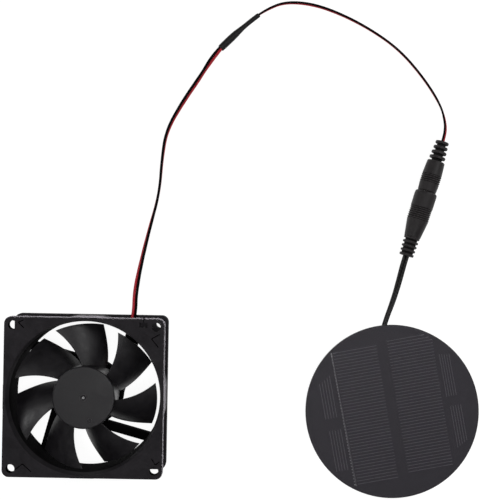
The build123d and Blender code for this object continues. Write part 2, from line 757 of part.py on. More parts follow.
fan_offset = (FAN_WIRE + WIRE_GAP) / 2
thin_offset = (THIN_WIRE + WIRE_GAP) / 2
leads = {
    "red_lead_lower": (beside(FAN_LEAD_ROUTE, fan_offset), FAN_WIRE),
    "black_lead_lower": (beside(FAN_LEAD_ROUTE, -fan_offset), FAN_WIRE),
    "black_lead_upper": (beside(PLUG_LEAD_ROUTE, thin_offset), THIN_WIRE),
    "red_lead_upper": (beside(PLUG_LEAD_ROUTE, -thin_offset), THIN_WIRE),
    "panel_cable": (PANEL_CABLE_ROUTE, CABLE_DIAMETER),
}
for node, (route, diameter) in leads.items():
    write(node, cord_tube(node, route, diameter))
write("splice_sleeve", splice_sleeve())

plug_at = connector_place(0)
write("plug_shell", plug_at * plug_shell())
barrel_end = PLUG_LENGTH + BARREL_LENGTH
contacts = {
    "plug_barrel": (BARREL_RADIUS, BARREL_BORE, BARREL_START, barrel_end),
    "plug_insulator": (BARREL_BORE, INNER_CONTACT_RADIUS, BARREL_START, barrel_end - 0.2),
    "plug_inner_contact": (INNER_CONTACT_RADIUS, INNER_CONTACT_BORE, BARREL_START, barrel_end - 0.4),
}
for node, sizes in contacts.items():
    write(node, plug_at * ring(*sizes))

mouth = PLUG_LENGTH + SEAM_GAP
connector_length = (Vector(*CONNECTOR_BOTTOM) - Vector(*CONNECTOR_TOP)).length
jack_at = connector_place(mouth)
write("jack_shell", jack_at * jack_shell(connector_length - mouth))
write("jack_insert", jack_at * jack_insert())
pin = fillet(disc(PIN_RADIUS, 1.2, 10.6).edges().filter_by(GeomType.CIRCLE).sort_by(Axis.Z)[0], 0.4)
write("jack_centre_pin", jack_at * pin)
write("jack_side_spring", jack_at * jack_side_spring())

for node, shape in panel_parts().items():
    write(node, shape, SOLID_COUNTS.get(node, 1))
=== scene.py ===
import math

import bpy
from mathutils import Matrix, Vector, noise


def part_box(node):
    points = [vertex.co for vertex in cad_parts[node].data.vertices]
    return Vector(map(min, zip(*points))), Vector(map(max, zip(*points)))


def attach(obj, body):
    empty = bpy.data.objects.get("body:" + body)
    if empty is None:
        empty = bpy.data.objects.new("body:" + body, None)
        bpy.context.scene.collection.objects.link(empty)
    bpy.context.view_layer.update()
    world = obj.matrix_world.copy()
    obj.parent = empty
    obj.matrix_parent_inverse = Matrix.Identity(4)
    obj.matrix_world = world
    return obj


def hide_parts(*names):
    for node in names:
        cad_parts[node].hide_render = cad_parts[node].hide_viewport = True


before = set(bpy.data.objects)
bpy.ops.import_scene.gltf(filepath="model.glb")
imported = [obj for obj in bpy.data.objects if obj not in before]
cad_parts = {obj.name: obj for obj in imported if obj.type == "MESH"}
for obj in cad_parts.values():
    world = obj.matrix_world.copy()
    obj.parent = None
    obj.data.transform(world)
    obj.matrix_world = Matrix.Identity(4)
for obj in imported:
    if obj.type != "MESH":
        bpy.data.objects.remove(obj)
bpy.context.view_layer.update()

# Solar attic fan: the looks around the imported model. Metres, in the model's own frame:
# the fan's axis is Z through the origin, the camera looks straight down on fan and panel.

MM = 0.001
UP = Vector((0, 0, 1))

# ---- camera ----
CAMERA_PLACE = (0.0769, 0.07494, 0.46261)
CAMERA_TURN = math.radians(1.016)
LENS = 63.42
SENSOR = 36.0

# ---- wires and cable ----
FAN_WIRE = 0.0014
THIN_WIRE = 0.0011
TWIN_STRAND = 0.00170
STRAND_OFFSET = 0.48      # of a strand's diameter, so that the two strands are fused along their seam
WIRE_SIDES = 14
SLEEVE_BOW = 0.00048      # how far the sleeve's middle bows out to the left

# Centre line of the two wires from the circuit board to the splice sleeve.
FAN_LEAD_ROUTE = [
    (0.01352, 0.00466, 0.00380),
    (0.01910, 0.02550, 0.00380),
    (0.02240, 0.04060, 0.00380),
    (0.02215, 0.05220, 0.00090),
    (0.02475, 0.06645, 0.00071),
    (0.02885, 0.08445, 0.00071),
    (0.03392, 0.10380, 0.00071),
    (0.03500, 0.12250, 0.00071),
    (0.03705, 0.13675, 0.00071),
    (0.04515, 0.15160, 0.00071),
    (0.05416, 0.16509, 0.00090),
    (0.06095, 0.17602, 0.00192),
    (0.06460, 0.18018, 0.00192),
]

# Centre line of the two thinner wires from the sleeve to the plug.
PLUG_LEAD_ROUTE = [
    (0.08434, 0.19803, 0.00192),
    (0.08875, 0.20116, 0.00160),
    (0.09826, 0.20530, 0.00057),
    (0.11245, 0.20445, 0.00057),
    (0.12745, 0.19945, 0.00057),
    (0.14345, 0.19145, 0.00057),
    (0.15840, 0.18115, 0.00057),
    (0.17105, 0.16700, 0.00057),
    (0.18015, 0.15320, 0.00066),
    (0.18230, 0.14430, 0.00300),
    (0.18208, 0.13764, 0.00575),
    (0.18064, 0.13285, 0.00575),
]

# Centre line of the panel's cable from the jack to the potting under the panel.
PANEL_CABLE_ROUTE = [
    (0.16286, 0.07345, 0.00575),
    (0.16128, 0.06818, 0.00575),
    (0.15985, 0.06020, 0.00280),
    (0.15755, 0.05060, 0.00078),
    (0.15320, 0.03860, 0.00078),
    (0.14960, 0.02460, 0.00078),
    (0.15180, 0.01300, 0.00078),
    (0.15400, 0.00460, 0.00078),
]

# Where the red wire lies beside the black one, as (share of the lead, degrees from its left side).
FAN_LEAD_TWIST = [
    (0.0, 20), (0.24, 20), (0.28, 0), (0.32, -32), (0.37, -50), (0.45, -67), (0.50, -78), (0.58, -88),
    (0.62, -93), (0.71, -104), (0.75, -113), (0.84, -129), (0.88, -129), (0.92, -120), (0.96, -160),
    (1.0, -205),
]
PLUG_LEAD_TWIST = [
    (0.0, -86), (0.06, -96), (0.2, -110), (0.28, -105), (0.36, -97), (0.45, -90), (0.55, -87),
    (0.8, -86), (0.87, -74), (0.92, -58), (0.96, -44), (1.0, -40),
]
# The same for the two strands of the panel's cable.
PANEL_CABLE_TWIST = [
    (0.0, 0), (0.06, 0), (0.13, 22), (0.21, 33), (0.29, 46), (0.46, 62), (0.7, 75), (1.0, 90),
]

# ---- hub marks: place, radius and thickness of each raised ring ----
HUB_CENTRE_RING = (0.0, 0.0, 0.0017, 0.00016)
HUB_MARK_RING = (0.0034, -0.0113, 0.0012, 0.00014)
HUB_RING_STEPS = 32

# ---- panel ----
FINGER_PITCH = 0.0016
FINGER_WIDTH = 0.00034
FINGER_HEIGHT = 0.00002
SIDE_FINGERS = 5
FINGER_MARGIN = 0.00035        # bare cell beyond each end of a finger
BEAD_INSET = 0.00045           # from the cell's edge to the middle of a bead on the ribbon
FILM_CLEARANCE = 0.00004       # between the film and the cells
FILM_SAG = 0.00006             # dip of the film where no cell is under it
FILM_SLOPE = 0.0012            # width of the slope into the dip
FILM_SLOPE_OUTSIDE = 0.0009    # part of that width outside the cell's outline
FILM_EDGE_ROUND = 0.00035
FILM_RIM = 0.0024              # width of the rim that comes down to the board
FILM_RIM_STEP = 0.0001
FILM_RIM_GAP = 0.00003         # between that rim and the board
FILM_SIDES = 300
FILM_RINGS = 84

# ---- studio ----
FLOOR_SIZE = 40.0
FLOOR_GLOW = 0.93
WORLD_LIGHT = 0.13
BEAM_SPREAD = math.radians(4)


# ================= camera, floor and light =================
def add_camera():
    data = bpy.data.cameras.new("camera")
    data.lens = LENS
    data.sensor_width = SENSOR
    data.dof.use_dof = False
    camera = bpy.data.objects.new("camera", data)
    camera.location = CAMERA_PLACE
    camera.rotation_euler = (0, 0, CAMERA_TURN)
    bpy.context.scene.collection.objects.link(camera)
    bpy.context.scene.camera = camera


def add_light(name, place, aim, size, power, height=None):
    """A round soft light, or a low strip with a narrow beam if it has a height."""
    data = bpy.data.lights.new(name, "AREA")
    data.shape = "DISK" if height is None else "RECTANGLE"
    data.size = size
    if height is not None:
        data.size_y = height
        data.spread = BEAM_SPREAD
    data.energy = power
    light = bpy.data.objects.new(name, data)
    light.location = place
    light.rotation_euler = (Vector(aim) - Vector(place)).to_track_quat("-Z", "Y").to_euler()
    bpy.context.scene.collection.objects.link(light)


def add_world(strength):
    world = bpy.data.worlds.new("studio")
    world.use_nodes = True
    background = world.node_tree.nodes["Background"]
    background.inputs["Color"].default_value = (1, 1, 1, 1)
    background.inputs["Strength"].default_value = strength
    bpy.context.scene.world = world


def add_floor():
    """White sweep that glows a little, so that it shows white round the dark object."""
    look = Shader("floor_paint", {"Roughness": 0.9, "Specular IOR Level": 0.1,
                                  "Emission Color": (1, 1, 1, 1), "Emission Strength": FLOOR_GLOW})
    tone = look.noise(look.place(0.02), 1.0, 2)
    look.colour(look.blend(tone, (0.20, 0.20, 0.20), (0.24, 0.24, 0.24)))
    bpy.ops.mesh.primitive_grid_add(x_subdivisions=4, y_subdivisions=4, size=FLOOR_SIZE,
                                    location=(0.08, 0.08, 0))
    floor = bpy.context.object
    floor.name = "floor"
    floor.data.materials.append(look.material)


# ================= materials =================
class Shader:
    """A Principled material, with short ways to add texture nodes to it."""

    def __init__(self, name, values):
        self.material = bpy.data.materials.new(name)
        self.material.use_nodes = True
        self.tree = self.material.node_tree
        self.surface = self.tree.nodes["Principled BSDF"]
        for socket, value in values.items():
            self.surface.inputs[socket].default_value = value

    def node(self, kind, **settings):
        made = self.tree.nodes.new("ShaderNode" + kind)
        for key, value in settings.items():
            setattr(made, key, value)
        return made

    def feed(self, socket, source):
        """Connects a node's output to an input, or sets the input to a plain value."""
        if isinstance(source, bpy.types.NodeSocket):
            self.tree.links.new(source, socket)
        elif isinstance(source, tuple) and len(source) == 3 and socket.type == "RGBA":
            socket.default_value = (*source, 1)
        else:
            socket.default_value = source

    def place(self, per_mm=1.0, stretch=(1, 1, 1), turn=0.0):
        """Object coordinates in units of 1/per_mm millimetres."""
        coordinates = self.node("TexCoord")
        mapping = self.node("Mapping")
        mapping.inputs["Scale"].default_value = [per_mm / MM * share for share in stretch]
        mapping.inputs["Rotation"].default_value = (0, 0, turn)
        self.feed(mapping.inputs["Vector"], coordinates.outputs["Object"])
        return mapping.outputs["Vector"]

    def noise(self, vector, scale, detail=2.0, roughness=0.5, distortion=0.0):
        made = self.node("TexNoise")
        self.feed(made.inputs["Vector"], vector)
        made.inputs["Scale"].default_value = scale
        made.inputs["Detail"].default_value = detail
        made.inputs["Roughness"].default_value = roughness
        made.inputs["Distortion"].default_value = distortion
        return made.outputs["Fac"]

    def spots(self, vector, scale, output="Distance"):
        made = self.node("TexVoronoi")
        self.feed(made.inputs["Vector"], vector)
        made.inputs["Scale"].default_value = scale
        return made.outputs[output]

    def wave(self, vector, scale, direction="X", distortion=0.0):
        made = self.node("TexWave", wave_type="BANDS", bands_direction=direction)
        self.feed(made.inputs["Vector"], vector)
        made.inputs["Scale"].default_value = scale
        made.inputs["Distortion"].default_value = distortion
        return made.outputs["Fac"]

    def spread(self, factor, low, high, start=0.0, end=1.0):
        """Carries the factor's start..end onto low..high, and stops there."""
        made = self.node("MapRange", clamp=True)
        self.feed(made.inputs["Value"], factor)
        made.inputs["From Min"].default_value = start
        made.inputs["From Max"].default_value = end
        made.inputs["To Min"].default_value = low
        made.inputs["To Max"].default_value = high
        return made.outputs["Result"]

    def maths(self, operation, first, second=0):
        made = self.node("Math", operation=operation)
        self.feed(made.inputs[0], first)
        self.feed(made.inputs[1], second)
        return made.outputs["Value"]

    def vectors(self, operation, first, second=None):
        """A vector, or a number where the operation gives one."""
        made = self.node("VectorMath", operation=operation)
        self.feed(made.inputs[0], first)
        if second is not None:
            self.feed(made.inputs[1], second)
        return made.outputs["Value" if operation in ("DOT_PRODUCT", "LENGTH") else "Vector"]

    def blend(self, factor, first, second):
        made = self.node("Mix", data_type="RGBA")
        self.feed(made.inputs["Factor"], factor)
        self.feed(made.inputs[6], first)
        self.feed(made.inputs[7], second)
        return made.outputs[2]

    def bump(self, height, depth, normal=None):
        """A bump whose full height is depth metres."""
        made = self.node("Bump")
        made.inputs["Strength"].default_value = 1.0
        made.inputs["Distance"].default_value = depth
        self.feed(made.inputs["Height"], height)
        if normal is not None:
            self.feed(made.inputs["Normal"], normal)
        return made.outputs["Normal"]

    def rounded(self, radius):
        """The normal as if each sharp edge had that radius."""
        made = self.node("Bevel", samples=4)
        made.inputs["Radius"].default_value = radius
        return made.outputs["Normal"]

    def edges(self, rounded_normal):
        """1 on sharp edges and 0 on faces, from the rounded normal."""
        flat_normal = self.node("NewGeometry").outputs["True Normal"]
        return self.spread(self.vectors("DOT_PRODUCT", rounded_normal, flat_normal), 1.0, 0.0, 0.90, 0.995)

    def colour(self, source):
        self.feed(self.surface.inputs["Base Color"], source)

    def roughness(self, source):
        self.feed(self.surface.inputs["Roughness"], source)

    def normal(self, source):
        self.feed(self.surface.inputs["Normal"], source)


def frame_painted_shade(look, tone, rough):
    """Painted shade in the slot, grooves and screw holes of the front flange, and on the duct walls, which
    are also made rougher.

    The ranges are millimetres from the fan's axis and above its base.
    """
    parts = look.node("SeparateXYZ")
    look.feed(parts.inputs["Vector"], look.place())
    x, y, z = parts.outputs
    square = look.maths("ADD", look.maths("MULTIPLY", x, x), look.maths("MULTIPLY", y, y))
    axis_distance = look.maths("SQRT", square)
    side_distance = look.maths("MAXIMUM", look.maths("ABSOLUTE", x), look.maths("ABSOLUTE", y))
    depth = look.maths("MULTIPLY", look.spread(z, 1, 0, 24.86, 24.97), look.spread(z, 0, 1, 20.0, 21.0))
    flange = look.maths("MULTIPLY", look.spread(side_distance, 1, 0, 38.9, 39.1),
                        look.spread(axis_distance, 0, 1, 39.0, 39.2))
    # The recesses below the flange's face are painted nearly black as shade, and made rough.
    painted_shade = look.maths("MULTIPLY", depth, flange)
    tone = look.blend(painted_shade, tone, (0.0010, 0.0009, 0.0010))
    # The duct walls are painted darker as shade, and made rough.
    duct = look.spread(axis_distance, 1, 0, 37.85, 38.0)
    tone = look.blend(duct, tone, (0.0048, 0.0044, 0.0049))
    return tone, look.maths("MAXIMUM", rough, look.maths("MAXIMUM", painted_shade, duct))


def connector_painted_shade(look, tone, rough):
    """Painted shade between the ribs and the grip ridges of the plug and the jack."""
    start = Vector(PLUG_LEAD_ROUTE[-1]) / MM
    end = Vector(PANEL_CABLE_ROUTE[0]) / MM
    shift = look.vectors("SUBTRACT", look.place(), start)
    along = look.vectors("DOT_PRODUCT", shift, (end - start).normalized())
    reach = look.vectors("LENGTH", shift)
    square = look.maths("SUBTRACT", look.maths("MULTIPLY", reach, reach),
                        look.maths("MULTIPLY", along, along))
    radius = look.maths("SQRT", square)
    # millimetres along the connector where the hollows start and end, the radii of their floor
    # and of their top, and how dark their painted shade is
    hollows = (
        (-0.1, 10.7, 2.9, 3.4, 0.9),
        (17.9, 22.3, 4.75, 5.05, 0.7),
        (35.8, 42.4, 5.25, 5.55, 0.7),
        (51.7, 60.9, 3.3, 3.7, 0.9),
    )
    # The grooves between the ribs and ridges are painted darker as shade, and made rough.
    painted_shade = 0.0
    for low, high, floor, top, share in hollows:
        past_start = look.maths("GREATER_THAN", along, low)
        inside = look.maths("MULTIPLY", past_start, look.maths("LESS_THAN", along, high))
        band = look.maths("MULTIPLY", inside, look.spread(radius, share, 0.0, floor, top))
        painted_shade = look.maths("MAXIMUM", painted_shade, band)
    return look.blend(painted_shade, tone, (0.0015, 0.0013, 0.0014)), look.maths("MAXIMUM", rough, painted_shade)


def moulded(name, dark, light, rough, grain_per_mm=5.0, grain_depth=0.000012, edge_radius=0.00022,
            edge_tone=2.0, specular=0.35, hollows=None):
    """Moulded plastic: fine spark-eroded grain, faint flow marks, rounded and slightly worn edges.

    hollows, if given, adds painted shade: it takes and gives back the tone and the roughness.
    """
    look = Shader(name, {"Specular IOR Level": specular})
    where = look.place()
    flow = look.spread(look.noise(where, 0.11, 5, 0.68, 0.9), 0.0, 1.0, 0.28, 0.72)
    fine = look.noise(where, grain_per_mm, 4, 0.65)
    dust = look.spread(look.noise(where, 1.1, 5, 0.78), 0.0, 1.0, 0.54, 0.74)
    tone = look.blend(flow, dark, light)
    tone = look.blend(look.maths("MULTIPLY", dust, 0.25), tone, tuple(1.8 * c + 0.01 for c in light))
    soft = look.rounded(edge_radius)
    worn = tuple(edge_tone * c + 0.004 for c in light)
    patches = look.spread(look.noise(where, 0.7, 4), 0.1, 0.8, 0.3, 0.7)
    wear = look.maths("MULTIPLY", look.edges(soft), patches)
    tone = look.blend(wear, tone, worn)
    mixed = look.maths("ADD", flow, look.maths("MULTIPLY", fine, 0.4))
    dullness = look.spread(mixed, rough[0], rough[1], 0.4, 1.0)
    # hollows paints shade into the recesses.
    if hollows is not None:
        tone, dullness = hollows(look, tone, dullness)
    look.colour(tone)
    look.roughness(dullness)
    look.normal(look.bump(fine, grain_depth, soft))
    return look.material


def metal(name, dark, light, rough, stretch=(1, 1, 1), per_mm=8.0, depth=0.000004, edge_radius=0.00012):
    """Machined metal: fine lines drawn out along one direction, small stains, broken edges."""
    look = Shader(name, {"Metallic": 1.0})
    lines = look.noise(look.place(1.0, stretch), per_mm, 3, 0.7)
    stains = look.noise(look.place(), 0.45, 4, 0.6, 0.4)
    look.colour(look.blend(look.spread(stains, 0.0, 1.0, 0.3, 0.7), dark, light))
    look.roughness(look.spread(look.maths("ADD", lines, stains), rough[0], rough[1], 0.6, 1.4))
    look.normal(look.bump(lines, depth, look.rounded(edge_radius)))
    return look.material


def cast(name, dark, light, rough, per_mm, depth, specular=0.4, coat=0.0):
    """A filled or pressed body: grains, pores and cloudy tone."""
    look = Shader(name, {"Specular IOR Level": specular, "Coat Weight": coat, "Coat Roughness": 0.12})
    where = look.place()
    grains = look.spots(where, per_mm)
    cloud = look.noise(where, 0.35, 4, 0.6)
    mixed = look.maths("ADD", look.maths("MULTIPLY", grains, 0.5), look.maths("MULTIPLY", cloud, 0.6))
    look.colour(look.blend(look.spread(mixed, 0.0, 1.0, 0.2, 0.8), dark, light))
    look.roughness(look.spread(cloud, rough[0], rough[1], 0.3, 0.7))
    look.normal(look.bump(grains, depth, look.rounded(0.00012)))
    return look.material


def insulation(name, dark, light, rough, specular, twist_depth=0.0):
    """Extruded PVC: slight waves, handling dust, a soft gloss, and its core's twist if it shows."""
    look = Shader(name, {"Specular IOR Level": specular})
    where = look.place()
    waves = look.noise(where, 0.8, 3, 0.5)
    dust = look.spread(look.noise(where, 2.6, 5, 0.7), 0.0, 1.0, 0.58, 0.8)
    tone = look.blend(look.spread(waves, 0, 1, 0.3, 0.7), dark, light)
    look.colour(look.blend(look.maths("MULTIPLY", dust, 0.3), tone, tuple(2.0 * c + 0.003 for c in light)))
    look.roughness(look.spread(look.maths("ADD", waves, dust), rough[0], rough[1], 0.3, 1.2))
    soft = look.bump(waves, 0.00003)
    if twist_depth:
        twist = look.wave(look.place(turn=math.radians(-48)), 0.20, "X", 0.6)
        soft = look.bump(twist, twist_depth, soft)
    look.normal(soft)
    return look.material


def laminated_steel():
    """Stacked half-millimetre sheets with dark gaps and blued edges."""
    look = Shader("laminated_steel", {"Metallic": 1.0})
    sheets = look.wave(look.place(), 0.31, "Z")
    stain = look.noise(look.place(), 0.6, 4, 0.6)
    tone = look.blend(look.spread(stain, 0, 1, 0.3, 0.7), (0.20, 0.21, 0.24), (0.36, 0.36, 0.37))
    look.colour(look.blend(look.spread(sheets, 0.65, 0.0, 0.0, 0.35), tone, (0.03, 0.03, 0.035)))
    look.roughness(look.spread(stain, 0.35, 0.55, 0.3, 0.7))
    look.normal(look.bump(sheets, 0.00006))
    return look.material


def enamelled_coil():
    """Turns of enamelled copper wire lying side by side."""
    look = Shader("enamelled_coil", {"Metallic": 0.85, "Coat Weight": 0.5, "Coat Roughness": 0.1})
    where = look.place()
    axis_distance = look.vectors("LENGTH", look.vectors("MULTIPLY", where, (1, 1, 0)))
    turns = look.maths("SINE", look.maths("MULTIPLY", axis_distance, 2 * math.pi / 0.22))
    ridge = look.spread(turns, 0.0, 1.0, -1.0, 1.0)
    tone = look.blend(look.noise(where, 1.2, 3), (0.42, 0.13, 0.05), (0.62, 0.24, 0.10))
    # The valleys between the turns are painted darker as shade.
    look.colour(look.blend(look.spread(ridge, 0.7, 0.0, 0.0, 0.4), tone, (0.08, 0.02, 0.01)))
    look.roughness(look.spread(ridge, 0.42, 0.25))
    look.normal(look.bump(ridge, 0.00008))
    return look.material


def solder_mask():
    """Green board with copper runs faintly raised under the mask."""
    look = Shader("solder_mask", {"Coat Weight": 0.3, "Coat Roughness": 0.15})
    where = look.place()
    field = look.noise(where, 0.28, 1.0, 0.4)
    bands = look.maths("PINGPONG", look.maths("MULTIPLY", field, 9.0), 1.0)
    runs = look.spread(bands, 0.0, 1.0, 0.42, 0.5)
    weave = look.wave(where, 1.1, "X")
    base = look.blend(look.maths("MULTIPLY", weave, 0.3), (0.012, 0.085, 0.035), (0.018, 0.11, 0.045))
    look.colour(look.blend(runs, base, (0.04, 0.22, 0.08)))
    look.roughness(look.spread(runs, 0.42, 0.30))
    look.normal(look.bump(runs, 0.00003))
    return look.material


def silicon():
    """Dark crystalline cell with faint grain boundaries."""
    look = Shader("silicon_cell", {"Specular IOR Level": 0.3, "Coat Weight": 0.15, "Coat Roughness": 0.3})
    where = look.place()
    crystals = look.spots(where, 0.35, "Color")
    cloud = look.noise(where, 0.05, 3)
    tone = look.blend(cloud, (0.009, 0.0078, 0.011), (0.014, 0.012, 0.017))
    look.colour(look.blend(0.12, tone, look.blend(0.93, crystals, (0.03, 0.028, 0.045))))
    look.roughness(look.spread(look.noise(where, 2.0, 3), 0.32, 0.48))
    look.normal(look.bump(look.noise(where, 6.0, 2), 0.000004))
    return look.material


def silver_print(name, dark, light):
    """Screen-printed or soldered silver, a little grainy."""
    look = Shader(name, {"Specular IOR Level": 0.3})
    where = look.place()
    grain = look.noise(where, 7.0, 3, 0.7)
    look.colour(look.blend(grain, dark, light))
    look.roughness(look.spread(grain, 0.45, 0.7))
    look.normal(look.bump(grain, 0.00001))
    return look.material


def laminate():
    """Clear matte film over the cells, with a fine embossed texture."""
    look = Shader("laminate", {"Alpha": 0.3, "Specular IOR Level": 0.3})
    where = look.place()
    emboss = look.noise(where, 9.0, 3, 0.6)
    cloud = look.noise(where, 0.045, 4, 0.6, 0.5)
    look.colour(look.blend(cloud, (0.067, 0.061, 0.075), (0.085, 0.078, 0.095)))
    mixed = look.maths("ADD", cloud, look.maths("MULTIPLY", emboss, 0.5))
    look.roughness(look.spread(mixed, 0.46, 0.6, 0.5, 1.0))
    look.normal(look.bump(emboss, 0.0000006))
    return look.material


def blank_label():
    """Silver-grey label stock with a printed ring and no lettering."""
    look = Shader("blank_label", {"Metallic": 0.35})
    fibres = look.noise(look.place(1.0, (1, 6, 1)), 3.0, 4, 0.7)
    tone = look.blend(fibres, (0.50, 0.51, 0.52), (0.62, 0.63, 0.64))
    distance = look.vectors("LENGTH", look.place())
    ring = look.maths("MULTIPLY", look.spread(distance, 0, 1, 13.6, 13.7),
                      look.spread(distance, 1, 0, 14.2, 14.3))
    look.colour(look.blend(ring, tone, (0.05, 0.05, 0.055)))
    look.roughness(look.spread(fibres, 0.4, 0.55))
    look.normal(look.bump(fibres, 0.000006))
    return look.material


def node_looks():
    """The material of each CAD node that is shown as it is."""
    frame_plastic = moulded("frame_plastic", (0.0178, 0.0164, 0.0184), (0.0330, 0.0306, 0.0340), (0.48, 0.66),
                            specular=0.02, hollows=frame_painted_shade)
    rotor_plastic = moulded("rotor_plastic", (0.0078, 0.0070, 0.0084), (0.0180, 0.0164, 0.0188), (0.34, 0.48),
                            grain_per_mm=3.0, specular=0.33)
    connector_pvc = moulded("connector_pvc", (0.0138, 0.0120, 0.0128), (0.0260, 0.0230, 0.0240), (0.45, 0.62),
                            grain_per_mm=4.0, grain_depth=0.000005, edge_tone=5.0, specular=0.25,
                            hollows=connector_painted_shade)
    chip = cast("chip_epoxy", (0.012, 0.012, 0.013), (0.025, 0.025, 0.026), (0.5, 0.65), 9.0, 0.00001)
    nylon = moulded("white_nylon", (0.70, 0.68, 0.62), (0.80, 0.78, 0.72), (0.35, 0.5), edge_tone=1.0)
    solder = metal("tin_solder", (0.50, 0.50, 0.49), (0.72, 0.72, 0.70), (0.18, 0.38),
                   per_mm=3.0, depth=0.00001)
    nickel = metal("nickel_plate", (0.60, 0.57, 0.52), (0.76, 0.73, 0.68), (0.14, 0.28), (1, 1, 9))
    black_nylon = moulded("black_nylon", (0.010, 0.010, 0.011), (0.016, 0.016, 0.017), (0.3, 0.42))
    cell = silicon()
    ribbon = metal("tinned_ribbon", (0.15, 0.145, 0.155), (0.24, 0.235, 0.245), (0.3, 0.5), (6, 1, 1))
    board = moulded("black_laminate_board", (0.0130, 0.0115, 0.0145), (0.0185, 0.0168, 0.0205), (0.4, 0.55),
                    grain_per_mm=3.0, edge_radius=0.0002, edge_tone=3.0)
    bronze = cast("sintered_bronze", (0.20, 0.13, 0.06), (0.42, 0.29, 0.15), (0.35, 0.5), 12.0, 0.00002)
    ferrite = cast("bonded_ferrite", (0.022, 0.020, 0.020), (0.05, 0.046, 0.045), (0.55, 0.75),
                   10.0, 0.00003)
    ceramic = cast("ceramic_body", (0.42, 0.30, 0.18), (0.56, 0.42, 0.28), (0.35, 0.5), 6.0, 0.00001)
    potting = cast("potting_silicone", (0.008, 0.008, 0.008), (0.014, 0.014, 0.014), (0.3, 0.5),
                   1.6, 0.00004, specular=0.5, coat=0.3)
    return {
        "fan_frame": frame_plastic,
        "impeller": rotor_plastic,
        "rear_label": blank_label(),
        "bearing_cap": nylon,
        "oil_seal_ring": nylon,
        "thrust_washer": nylon,
        "upper_insulator": nylon,
        "lower_insulator": nylon,
        "sleeve_bearing": bronze,
        "stator_core": laminated_steel(),
        "coil_windings": enamelled_coil(),
        "circuit_board": solder_mask(),
        "hall_sensor": chip,
        "driver_ic": chip,
        "board_capacitors": ceramic,
        "board_resistors": chip,
        "coil_pins": solder,
        "wire_solder_joints": solder,
        "solder_pads": solder,
        "rotor_yoke": metal("zinc_steel", (0.42, 0.42, 0.43), (0.60, 0.60, 0.61), (0.25, 0.42), (1, 1, 12)),
        "ring_magnet": ferrite,
        "hub_bush": metal("turned_brass", (0.55, 0.38, 0.14), (0.74, 0.55, 0.26), (0.18, 0.32), (1, 1, 10)),
        "rotor_shaft": metal("ground_steel", (0.52, 0.52, 0.53), (0.68, 0.68, 0.69), (0.10, 0.2), (1, 1, 14)),
        "shaft_clip": metal("spring_steel", (0.25, 0.25, 0.26), (0.42, 0.42, 0.43), (0.25, 0.4)),
        "plug_shell": connector_pvc,
        "jack_shell": connector_pvc,
        "plug_barrel": nickel,
        "plug_inner_contact": nickel,
        "jack_centre_pin": nickel,
        "jack_side_spring": nickel,
        "plug_insulator": black_nylon,
        "jack_insert": black_nylon,
        "panel_board": board,
        "cell_left": cell,
        "cell_right": cell,
        "side_cells": cell,
        "bus_ribbon": ribbon,
        "junction_potting": potting,
    }


def assign(node, material):
    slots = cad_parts[node].data.materials
    slots.clear()
    slots.append(material)


# ================= mesh building =================
def add_piece(name, vertices, faces, material, body, slot, replaces=(), sharp_degrees=40):
    """A smooth-shaded mesh piece that rides on a body."""
    mesh = bpy.data.meshes.new(name)
    mesh.from_pydata([tuple(vertex) for vertex in vertices], [], faces)
    mesh.validate()
    mesh.shade_smooth()
    mesh.set_sharp_from_angle(angle=math.radians(sharp_degrees))
    mesh.materials.append(material)
    piece = bpy.data.objects.new(name, mesh)
    bpy.context.scene.collection.objects.link(piece)
    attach(piece, body)
    if replaces:
        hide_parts(*replaces)
    return piece


def skin(rings, loop=False):
    """Vertices and faces of a closed skin through rings of equal count.

    The rings make a loop, or a tube whose ends are shut.
    """
    count = len(rings[0])
    vertices = [point for ring in rings for point in ring]
    faces = []
    for row in range(len(rings) if loop else len(rings) - 1):
        next_row = (row + 1) % len(rings)
        for column in range(count):
            following = (column + 1) % count
            faces.append((row * count + column, row * count + following,
                          next_row * count + following, next_row * count + column))
    ends = () if loop else ((0, True), (len(rings) - 1, False))
    for row, flip in ends:
        centre = sum(rings[row], Vector()) / count
        vertices.append(centre)
        hub = len(vertices) - 1
        for column in range(count):
            pair = (row * count + column, row * count + (column + 1) % count)
            faces.append((pair[1], pair[0], hub) if flip else (pair[0], pair[1], hub))
    return vertices, faces


def joined(parts):
    """Several (vertices, faces) pairs as one."""
    vertices, faces = [], []
    for part_vertices, part_faces in parts:
        start = len(vertices)
        vertices += part_vertices
        faces += [tuple(start + index for index in face) for face in part_faces]
    return vertices, faces


# ================= cords =================
def route_line(route):
    """Points along the smooth curve that a route controls."""
    curve = bpy.data.curves.new("route", "CURVE")
    curve.dimensions = "3D"
    curve.resolution_u = 20
    spline = curve.splines.new("NURBS")
    spline.points.add(len(route) - 1)
    for point, place in zip(spline.points, route):
        point.co = (*place, 1)
    spline.order_u = 3
    spline.use_endpoint_u = True
    holder = bpy.data.objects.new("route", curve)
    mesh = bpy.data.meshes.new_from_object(holder)
    line = [vertex.co.copy() for vertex in mesh.vertices]
    bpy.data.meshes.remove(mesh)
    bpy.data.objects.remove(holder)
    bpy.data.curves.remove(curve)
    return line


def distances(line):
    """Distance from the start to each point of a line."""
    total = [0.0]
    for before, after in zip(line, line[1:]):
        total.append(total[-1] + (after - before).length)
    return total


def directions(line):
    """Direction of a line at each of its points."""
    last = len(line) - 1
    return [(line[min(i + 1, last)] - line[max(i - 1, 0)]).normalized() for i in range(last + 1)]


def side_and_top(along):
    """Directions to the left of a line and square to it on the upper side."""
    left = UP.cross(along).normalized()
    return left, along.cross(left)


def angle_at(twist, share):
    """Angle in radians at a share of the way, eased between the listed stations."""
    for (start, low), (end, high) in zip(twist, twist[1:]):
        if share <= end:
            step = (share - start) / (end - start)
            eased = step * step * (3 - 2 * step)
            return math.radians(low + (high - low) * eased)
    return math.radians(twist[-1][1])


